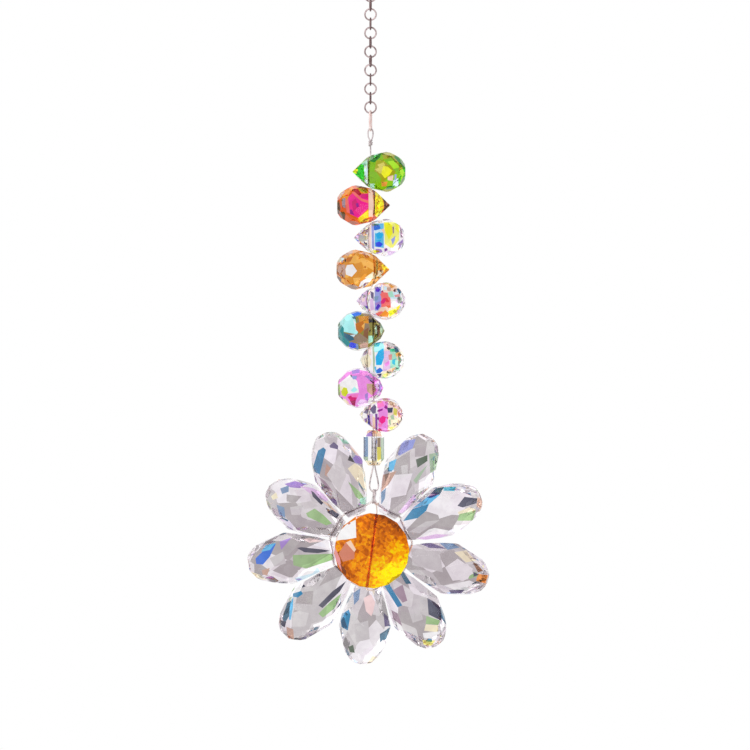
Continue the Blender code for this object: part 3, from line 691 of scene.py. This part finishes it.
cut_drop(7, "clear", 2, ("clear", "white"), (
    ("aqua", 840, 95, 1010, 95, 1005, 250, 845, 270), ("blush", 1010, 50, 1210, 120, 1210, 250, 1010, 250),
    ("lilac", 1000, 250, 1100, 250, 1100, 560, 985, 640),
    ("mint", 1100, 262, 1275, 262, 1245, 560, 1100, 540), ("cream", 960, 580, 1180, 500, 1100, 640, 960, 685),
    ("cream", 600, 380, 760, 290, 812, 402, 782, 502, 690, 520),
    ("mauve", 640, 312, 742, 210, 762, 280, 680, 322), ("blush", 740, 180, 802, 190, 822, 332, 740, 292),
    ("taupe", 640, 452, 662, 460, 702, 512, 680, 520), ("taupe", 700, 432, 746, 480, 736, 496, 704, 452),
    ("sage", 820, 190, 848, 170, 862, 402, 852, 612, 830, 562),
    ("white", 800, 190, 822, 190, 836, 562, 810, 545),
    ("pool", 840, 150, 900, 90, 962, 105, 920, 182, 850, 184),
    ("petrol", 880, 105, 960, 40, 992, 62, 940, 122), ("aqua", 860, 202, 932, 190, 902, 272, 864, 272),
    ("azure", 920, 250, 992, 208, 1012, 332, 962, 472, 880, 472, 870, 342),
    ("blue", 880, 552, 940, 508, 988, 552, 950, 594, 890, 602), ("navy", 890, 612, 972, 600, 945, 665),
    ("sky", 850, 502, 880, 490, 890, 602, 870, 582), ("orchid", 1010, 452, 1082, 400, 1092, 452, 1030, 502),
    ("lilac", 1010, 502, 1102, 460, 1080, 542, 1010, 572),
    ("rose", 1070, 312, 1132, 300, 1122, 392, 1080, 392),
    ("lilac", 1000, 302, 1052, 280, 1042, 392, 1010, 402),
    ("fog", 1000, 85, 1080, 45, 1182, 125, 1150, 192, 1030, 162),
    ("blush", 990, 122, 1052, 110, 1042, 162, 1000, 162),
    ("jade", 1090, 222, 1172, 208, 1172, 262, 1100, 264), ("moss", 1050, 205, 1112, 198, 1080, 242),
    ("petrol", 1160, 170, 1225, 190, 1245, 262, 1170, 264),
    ("apricot", 1180, 290, 1255, 262, 1275, 332, 1200, 352),
    ("peach", 1205, 332, 1275, 332, 1262, 402, 1215, 402),
    ("pool", 1130, 392, 1192, 370, 1172, 472, 1130, 452),
    ("mint", 1180, 382, 1225, 402, 1202, 502, 1170, 502),
    ("peach", 1040, 562, 1195, 495, 1160, 565, 1060, 620),
    ("lemon", 975, 622, 1072, 590, 1042, 665, 985, 670),
))
cut_drop(8, "lilac", 2, ("orchid",), (
    ("white", 270, 780, 470, 620, 582, 720, 612, 900, 430, 922),
    ("chartreuse", 330, 882, 370, 818, 422, 830, 442, 902, 400, 968, 340, 942),
    ("leaf", 270, 770, 310, 775, 322, 942, 285, 960), ("cream", 310, 800, 362, 810, 342, 872, 315, 872),
    ("aqua", 480, 872, 540, 808, 592, 860, 530, 902),
    ("fuchsia", 430, 972, 520, 930, 602, 930, 560, 1032, 480, 1042),
    ("pink", 480, 930, 602, 924, 592, 980, 500, 972), ("wine", 470, 1032, 562, 1020, 546, 1125, 515, 1110),
    ("navy", 300, 960, 350, 980, 384, 1055, 350, 1060), ("cream", 355, 1000, 402, 1000, 462, 1105, 395, 1105),
    ("peach", 400, 1002, 440, 1040, 495, 1145, 445, 1125), ("violet", 490, 552, 622, 530, 622, 592, 510, 612),
    ("periwinkle", 488, 642, 582, 640, 572, 692, 518, 694), ("moss", 472, 630, 502, 624, 496, 668),
    ("tan", 730, 762, 842, 760, 884, 870, 810, 944, 740, 882),
    ("ink", 762, 680, 855, 750, 832, 758, 788, 722), ("violet", 700, 642, 762, 635, 855, 722, 770, 702),
    ("lilac", 860, 742, 932, 715, 965, 800, 922, 964, 890, 902),
    ("violet", 922, 730, 972, 785, 960, 885, 925, 885),
    ("white", 745, 1062, 770, 990, 892, 930, 940, 990, 800, 1130, 750, 1140),
    ("lilac", 570, 1080, 640, 1002, 742, 1030, 752, 1115, 620, 1115),
    ("violet", 702, 932, 752, 900, 752, 1042, 710, 1012),
    ("lilac", 515, 1130, 682, 1128, 625, 1180, 555, 1175),
))
cut_drop(9, "clear", 2, ("clear", "white"), (
    ("orchid", 915, 1030, 1062, 1030, 1062, 1530, 915, 1530),
    ("blush", 1062, 1025, 1285, 1150, 1285, 1330, 1062, 1250),
    ("cream", 1062, 1245, 1285, 1325, 1262, 1450, 1062, 1530),
    ("dusk", 680, 1218, 740, 1145, 762, 1190, 740, 1234),
    ("dusk", 780, 1160, 852, 1085, 884, 1120, 874, 1222, 830, 1234),
    ("rose", 575, 1340, 640, 1285, 662, 1340, 640, 1394),
    ("violet", 690, 1322, 742, 1290, 742, 1352, 710, 1382),
    ("indigo", 750, 1240, 776, 1268, 792, 1402, 765, 1472, 748, 1442),
    ("grape", 735, 1412, 792, 1400, 772, 1490, 740, 1480),
    ("lilac", 780, 1232, 832, 1240, 852, 1510, 790, 1510),
    ("peach", 820, 1260, 872, 1300, 872, 1520, 830, 1520),
    ("grape", 865, 1230, 902, 1230, 902, 1515, 870, 1515),
    ("pink", 895, 1050, 982, 1040, 1012, 1112, 900, 1144),
    ("rose", 895, 1040, 972, 1025, 962, 1062, 905, 1064),
    ("plum", 890, 1192, 910, 1168, 988, 1148, 980, 1178, 920, 1204),
    ("orchid", 920, 1212, 1002, 1190, 1002, 1262, 930, 1284),
    ("magenta", 932, 1302, 980, 1262, 1034, 1280, 1022, 1354, 970, 1394, 930, 1352),
    ("fuchsia", 1028, 1290, 1074, 1284, 1062, 1314), ("plum", 898, 1290, 930, 1280, 925, 1344, 903, 1322),
    ("pink", 910, 1382, 982, 1390, 962, 1442, 912, 1432),
    ("fuchsia", 898, 1482, 940, 1460, 984, 1490, 920, 1510),
    ("plum", 1003, 1132, 1030, 1088, 1062, 1130, 1040, 1164),
    ("navy", 1048, 1140, 1144, 1133, 1132, 1212, 1068, 1218),
    ("sage", 1100, 1262, 1152, 1240, 1166, 1322, 1118, 1324),
    ("straw", 1150, 1130, 1212, 1160, 1202, 1272, 1150, 1242),
    ("rose", 1208, 1165, 1262, 1230, 1272, 1305, 1225, 1265),
    ("peach", 1080, 1025, 1180, 1060, 1152, 1124, 1090, 1094),
    ("tan", 965, 990, 1065, 995, 1082, 1044, 1000, 1034),
    ("cream", 1128, 1342, 1225, 1305, 1215, 1402, 1130, 1434),
    ("sage", 1075, 1332, 1102, 1308, 1112, 1402, 1085, 1394), ("lemon", 1080, 1442, 1185, 1428, 1120, 1505),
))

# Tube bead: an eight-sided column of clear cut glass with tapered ends, coated blue down one side and green
# down the other. Both runs of the strand wire go through it. Its patches and the flower's are read off one
# front view, in units of 18 to a millimetre; the tube's grey strip over the bore is painted shade.
flower_drawing = (18092, 787, 2906.8)
# The ash strip is painted shade where the bore shows through the glass.
tube_coat_and_painted_light = (
    ("steel", 745, 70, 772, 70, 772, 190, 745, 190), ("sage", 745, 190, 772, 190, 772, 245, 745, 245),
    ("white", 773, 76, 815, 76, 815, 200, 798, 228, 773, 215), ("ash", 815, 80, 826, 76, 822, 225, 812, 225),
    ("taupe", 828, 76, 848, 74, 848, 132, 828, 132), ("straw", 825, 132, 850, 132, 850, 205, 828, 220),
    ("sage", 850, 76, 878, 76, 878, 225, 850, 225), ("cream", 745, 214, 878, 214, 850, 250, 775, 250),
    ("peach", 765, 30, 855, 30, 870, 68, 755, 68), ("violet", 765, 52, 795, 34, 800, 68, 757, 68),
)
tube_glass = cut_glass("cut_glass_tube", gloss=0.45, darker=(0.97, 0.96, 0.97, 1))
pale = ("white", "clear")
cut_stone("tube_bead", tube_glass, pale, 60, flower_drawing, tube_coat_and_painted_light, pale)

# Flower bail: a small coil of the same plated wire. It links the foot of the kite to the point of the petal
# ring, which hangs in it.
bail_swell = 0.00008
drawn_wire("bail", "flower_bail", bail_swell, silvery_wire)

# Petal ring: a bright copper wire bent straight through each petal, with a point at the top under the bail.
# It is half metal and half paint to the light, so that it stays pale from the front.
ring_swell = 0.00011
ring_copper = plated("ring_copper", (1.0, 0.96, 0.96), (1.0, 0.88, 0.87), 0.5, 0.003)
ring_copper.node_tree.nodes["Principled BSDF"].inputs["Metallic"].default_value = 0.5
drawn_wire("petal_hoop", "petal_ring", ring_swell, ring_copper)

# Petals: nine flattened pears of clear cut glass, drilled across the narrow end and threaded on the petal
# ring. A rainbow coat shows on a few of their facets; their patches also hold painted white highlights and
# painted dark reflections of the room.
petal_glass = cut_glass("cut_glass_petal", ior=1.5, gloss=0.45, paler=0.006, darker=(0.88, 0.86, 0.88, 1))
petal_front = ("haze", "fog", "pearl", "clear", "ash")
petal_outer = ("white", "clear", "white", "pearl", "fog")
petal_back = ("white", "clear", "white", "pearl")


def cut_petal(number, patches):
    cut_stone(
        f"petal_{number}", petal_glass, petal_front, number - 1, flower_drawing, patches,
        petal_outer, petal_back, fade=0.06,
    )


# The white patches are painted highlights, and the slate, navy, dusk, ink and moss ones painted dark
# reflections.
cut_petal(1, (
    ("periwinkle", 950, 175, 980, 95, 1060, 85, 1040, 140, 960, 185),
    ("teal", 872, 280, 890, 200, 945, 195, 938, 215, 900, 225, 890, 280),
    ("sky", 892, 272, 903, 222, 945, 204, 925, 272), ("tan", 862, 300, 945, 275, 900, 352, 850, 405),
    ("ash", 1055, 118, 1130, 98, 1115, 186, 1055, 192), ("moss", 1060, 207, 1130, 180, 1130, 216, 1070, 256),
    ("sage", 1140, 175, 1195, 165, 1190, 262, 1148, 295),
    ("sage", 1045, 332, 1080, 288, 1132, 238, 1062, 352), ("fog", 970, 245, 1010, 238, 1012, 292, 975, 294),
    ("white", 1080, 332, 1155, 285, 1145, 370, 1075, 410),
    ("lilac", 955, 525, 1050, 415, 1062, 440, 985, 535), ("steel", 850, 405, 880, 378, 874, 442, 852, 478),
    ("pearl", 930, 300, 1040, 290, 1000, 420, 900, 440),
))
cut_petal(2, (
    ("teal", 983, 578, 1040, 503, 1138, 472, 1122, 512, 1070, 558),
    ("sky", 1040, 500, 1130, 428, 1205, 415, 1140, 472),
    ("petrol", 1148, 412, 1180, 378, 1228, 370, 1202, 417),
    ("pool", 1225, 372, 1300, 368, 1290, 394, 1225, 392),
    ("navy", 1308, 482, 1350, 428, 1435, 438, 1422, 467, 1340, 492),
    ("cream", 1310, 520, 1380, 490, 1425, 505, 1320, 542),
    ("green", 1308, 572, 1320, 532, 1420, 508, 1402, 572),
    ("peach", 1428, 430, 1462, 440, 1450, 505, 1422, 482),
    ("fog", 1020, 642, 1120, 578, 1202, 568, 1080, 652),
    ("lilac", 1060, 682, 1180, 655, 1262, 658, 1150, 695), ("white", 1288, 600, 1365, 595, 1290, 668),
    ("clear", 1170, 470, 1270, 440, 1290, 530, 1200, 560),
))
cut_petal(3, (
    ("dusk", 1058, 703, 1150, 708, 1245, 742, 1140, 738), ("fog", 1030, 742, 1200, 745, 1222, 882, 1040, 842),
    ("steel", 1200, 708, 1262, 700, 1325, 735, 1250, 748),
    ("cream", 1290, 762, 1362, 752, 1418, 812, 1360, 822),
    ("brown", 1400, 822, 1422, 828, 1462, 872, 1432, 882),
    ("orange", 1430, 890, 1495, 900, 1480, 950, 1420, 932),
    ("green", 1370, 907, 1420, 878, 1432, 902, 1380, 922),
    ("pearl", 1235, 852, 1310, 800, 1402, 860, 1370, 922, 1280, 932),
    ("white", 1228, 962, 1380, 930, 1445, 955, 1340, 1008),
    ("dusk", 1258, 990, 1352, 986, 1332, 1008, 1270, 1010),
    ("steel", 1035, 920, 1080, 928, 1165, 992, 1100, 980), ("navy", 1404, 878, 1438, 895, 1405, 908),
))
cut_petal(4, (
    ("teal", 868, 965, 900, 955, 978, 1080, 950, 1092), ("petrol", 962, 888, 986, 883, 1033, 952, 1000, 954),
    ("mauve", 920, 992, 980, 958, 1008, 1052, 980, 1064),
    ("navy", 1128, 1035, 1170, 1058, 1225, 1110, 1208, 1168, 1135, 1132),
    ("green", 1122, 1140, 1205, 1168, 1192, 1194, 1118, 1188),
    ("cream", 1118, 1190, 1195, 1196, 1185, 1236, 1108, 1228),
    ("white", 1100, 1242, 1205, 1232, 1175, 1285, 1108, 1284),
    ("lemon", 1098, 1284, 1175, 1287, 1150, 1320, 1105, 1312),
    ("mauve", 912, 1110, 950, 1128, 978, 1205, 925, 1165),
    ("fog", 1010, 1092, 1080, 1070, 1102, 1162, 1040, 1182),
    ("petrol", 1205, 1085, 1245, 1110, 1240, 1195, 1212, 1155),
))
cut_petal(5, (
    ("steel", 683, 1012, 727, 982, 717, 1052, 688, 1084),
    ("teal", 602, 1150, 655, 1113, 667, 1142, 650, 1240, 612, 1220),
    ("blush", 745, 1042, 790, 1018, 822, 1082, 792, 1152, 760, 1122),
    ("dusk", 865, 1130, 892, 1158, 905, 1215, 873, 1218),
    ("petrol", 843, 1262, 908, 1222, 882, 1295, 845, 1314),
    ("haze", 820, 1042, 852, 1078, 842, 1152, 800, 1142), ("fog", 690, 1202, 772, 1178, 782, 1292, 700, 1312),
    ("white", 790, 1372, 862, 1298, 885, 1330, 812, 1412),
    ("moss", 652, 1342, 682, 1328, 692, 1378, 662, 1374),
    ("cream", 765, 1448, 800, 1398, 832, 1410, 790, 1448),
))
cut_petal(6, (
    ("teal", 318, 1016, 370, 998, 380, 1016, 350, 1038, 320, 1034),
    ("petrol", 255, 1166, 285, 1072, 308, 1058, 296, 1152, 270, 1195),
    ("sky", 296, 1172, 302, 1080, 322, 1033, 320, 1100, 307, 1172),
    ("slate", 474, 1084, 560, 998, 640, 940, 602, 1002, 498, 1100),
    ("green", 474, 1134, 540, 1068, 613, 1012, 572, 1102, 500, 1158),
    ("fog", 440, 1012, 500, 958, 562, 928, 470, 1042), ("fog", 328, 1072, 440, 1080, 420, 1132, 330, 1112),
    ("tan", 280, 1215, 322, 1230, 326, 1300, 285, 1275), ("dusk", 350, 1288, 402, 1272, 397, 1302, 355, 1306),
    ("white", 440, 1202, 562, 1158, 585, 1192, 450, 1242),
    ("navy", 418, 1268, 492, 1238, 482, 1254, 422, 1280),
    ("slate", 245, 1176, 280, 1184, 270, 1220, 245, 1205),
))
cut_petal(7, (
    ("slate", 345, 738, 400, 728, 500, 748, 560, 755, 470, 770, 390, 764),
    ("green", 320, 780, 560, 774, 560, 812, 400, 862, 324, 842),
    ("blue", 95, 802, 140, 758, 218, 712, 182, 790, 140, 838, 100, 834),
    ("sky", 128, 762, 160, 722, 218, 708, 182, 750), ("violet", 240, 700, 312, 676, 290, 702, 250, 752),
    ("tan", 133, 872, 182, 858, 166, 904, 138, 898),
    ("ash", 265, 852, 300, 833, 327, 860, 290, 904, 268, 882),
    ("cream", 68, 882, 120, 900, 165, 935, 95, 920), ("blush", 383, 686, 420, 678, 505, 698, 420, 708),
    ("ice", 330, 922, 470, 858, 482, 882, 360, 958), ("white", 350, 872, 470, 848, 440, 892, 350, 914),
    ("fog", 180, 800, 260, 760, 280, 830, 210, 850),
))
cut_petal(8, (
    ("violet", 265, 358, 330, 340, 395, 358, 360, 382, 300, 378),
    ("steel", 240, 385, 292, 366, 292, 404, 252, 418),
    ("lilac", 358, 368, 440, 382, 545, 440, 520, 462, 420, 412),
    ("slate", 428, 396, 446, 408, 502, 470, 490, 482, 438, 432),
    ("slate", 522, 522, 562, 508, 600, 540, 582, 563),
    ("green", 398, 532, 450, 503, 502, 540, 555, 592, 520, 604, 408, 553),
    ("peach", 458, 440, 540, 478, 595, 540, 560, 512), ("steel", 218, 482, 266, 498, 272, 562, 235, 542),
    ("petrol", 245, 556, 292, 574, 287, 584, 252, 568), ("ash", 280, 420, 370, 430, 332, 472, 280, 462),
    ("fog", 300, 496, 382, 484, 362, 542, 310, 542), ("cream", 185, 432, 215, 408, 227, 442, 195, 455),
))
cut_petal(9, (
    ("teal", 440, 252, 470, 155, 502, 135, 518, 150, 480, 298, 448, 284),
    ("tan", 510, 302, 521, 233, 550, 264, 531, 314),
    ("dusk", 538, 126, 565, 103, 592, 125, 590, 147, 545, 137),
    ("mint", 600, 80, 640, 92, 665, 115, 620, 112), ("ink", 650, 212, 662, 178, 694, 228),
    ("violet", 680, 200, 702, 178, 742, 200, 738, 238, 695, 228),
    ("cream", 650, 262, 690, 230, 742, 260, 775, 330, 775, 422, 700, 332),
    ("green", 638, 312, 666, 318, 722, 400, 768, 440, 760, 474, 698, 432),
    ("mauve", 470, 310, 512, 338, 563, 402, 530, 394), ("mint", 724, 442, 772, 430, 757, 478, 722, 474),
    ("peach", 764, 330, 782, 350, 780, 442, 765, 432), ("haze", 522, 300, 602, 178, 642, 302, 600, 402),
    ("blush", 650, 108, 692, 148, 748, 200, 700, 182),
))

# Amber bead: a round bead of amber glass, cut with a table front and back. Its front breaks up into a mosaic
# from burnt orange to bright yellow, with painted light that makes it brighter to the lower right. Its left
# rim holds a painted reflection of the coiled wire, pale with copper stripes, and one facet there has a
# painted highlight.
amber_low, amber_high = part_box("amber_bead")
amber_centre = (amber_low + amber_high) / 2


def amber_glass(name):
    """A mosaic of two sizes of fragment where a facet's colour is left empty, with painted light that makes
    it brighter to the right and downwards.
    """
    coarse = 0.0026
    fine = 0.0009
    rightwards = 12
    downwards = 20
    diagonally = 4000
    made, tree, shader = principled(name)
    coat_and_painted_light = node(tree, "ShaderNodeAttribute", attribute_name="coat_and_painted_light")
    painted = Value(tree, coat_and_painted_light.socket.node.outputs["Alpha"])
    place = node(tree, "ShaderNodeTexCoord", output="Object")
    apart = node(tree, "ShaderNodeSeparateXYZ", {"Vector": place})
    across = Value(tree, apart.socket.node.outputs["X"])
    up = Value(tree, apart.socket.node.outputs["Z"])
    right = across - amber_centre.x
    above = up - amber_centre.z
    # Painted light: the mosaic is brighter to the right and downwards and darker to the upper left.
    lit = rightwards * right - downwards * above - diagonally * right * above

    def fragments(size):
        cells = node(tree, "ShaderNodeTexVoronoi", {"Vector": place, "Scale": 1 / size}, output="Color")
        return node(tree, "ShaderNodeSeparateColor", {"Color": cells})

    mosaic = 0.5 + lit + 0.3 * (fragments(coarse) - 0.5) + 0.36 * (fragments(fine) - 0.5)
    ramp = tree.nodes.new("ShaderNodeValToRGB")
    stops = ((0.0, "cola"), (0.25, "cognac"), (0.5, "amber"), (0.68, "honey"), (0.88, "gold"))
    first_stops = len(ramp.color_ramp.elements)
    for k, (at, colour_name) in enumerate(stops):
        stop = ramp.color_ramp.elements[k] if k < first_stops else ramp.color_ramp.elements.new(at)
        stop.position = at
        stop.color = tint(colour_name)
    tree.links.new(mosaic.socket, ramp.inputs["Fac"])
    colour = mixed(tree, painted, Value(tree, ramp.outputs["Color"]), coat_and_painted_light)
    polished(tree, shader, colour, ior=1.56, gloss=0.25)
    return made


# Painted reflection of the coiled wire on the left rim, pale with copper stripes, and a painted highlight on
# one white facet.
amber_coat_and_painted_light = (
    ("blush", 570, 700, 590, 640, 640, 555, 702, 515, 702, 565, 650, 600, 600, 690),
    ("blush", 700, 516, 760, 495, 802, 495, 700, 563),
    ("white", 586, 690, 600, 640, 642, 597, 698, 567, 702, 674, 640, 686),
    ("copper", 686, 532, 705, 522, 730, 542, 708, 556), ("copper", 722, 520, 738, 516, 745, 545, 732, 550),
    ("copper", 752, 508, 762, 506, 770, 532, 760, 534), ("copper", 640, 572, 652, 566, 668, 592, 655, 598),
    ("rose", 562, 690, 590, 690, 604, 800, 640, 880, 615, 880, 575, 800),
    ("copper", 596, 770, 640, 700, 692, 748, 690, 800, 620, 820),
    ("peach", 640, 704, 668, 690, 700, 745, 690, 760), ("cola", 604, 830, 640, 872, 640, 900, 620, 880),
)
amber_finish = amber_glass("cut_glass_amber")
cut_stone("amber_bead", amber_finish, (), 30, flower_drawing, amber_coat_and_painted_light, ())

# Amber wire: a thin pinkish wire straight through the amber bead, wound on the petal ring above and below it.
# It holds the bead in front of the ring's open middle.
amber_swell = 0.00004
amber_copper = plated("amber_copper", (1.0, 0.86, 0.78), (0.86, 0.66, 0.56), 0.42, 0.002)
drawn_wire("amber_tie", "amber_wire", amber_swell, amber_copper)

# Floor: a plain pale disc far below the flower, which fades out into the white room. It is stage and not part
# of the object, and the stones and wires don't show it.
floor_height = -0.40
floor_radius = 1.4
fade_from = 0.3
fade_to = 0.98 * floor_radius
disc = bmesh.new()
bmesh.ops.create_circle(disc, cap_ends=True, radius=floor_radius, segments=96)
for corner in disc.verts:
    corner.co.z = floor_height
floor_mesh = bpy.data.meshes.new("floor")
disc.to_mesh(floor_mesh)
disc.free()
floor = bpy.data.objects.new("floor", floor_mesh)
scene.collection.objects.link(floor)
floor_finish, floor_tree, floor_shader = principled("floor_pale")
floor_shader.inputs["Base Color"].default_value = (0.93, 0.93, 0.93, 1)
floor_shader.inputs["Roughness"].default_value = 0.9
floor_place = node(floor_tree, "ShaderNodeTexCoord", output="Object")
flat = node(floor_tree, "ShaderNodeVectorMath", (floor_place, (1, 1, 0)), operation="MULTIPLY")
from_middle = node(floor_tree, "ShaderNodeVectorMath", (flat,), "Value", operation="LENGTH")
fade = ramped(floor_tree, from_middle, fade_from, fade_to, 1, 0)
floor_tree.links.new(fade.socket, floor_shader.inputs["Alpha"])
floor_mesh.materials.append(floor_finish)
floor.visible_glossy = False
floor.visible_transmission = False
floor.visible_shadow = False
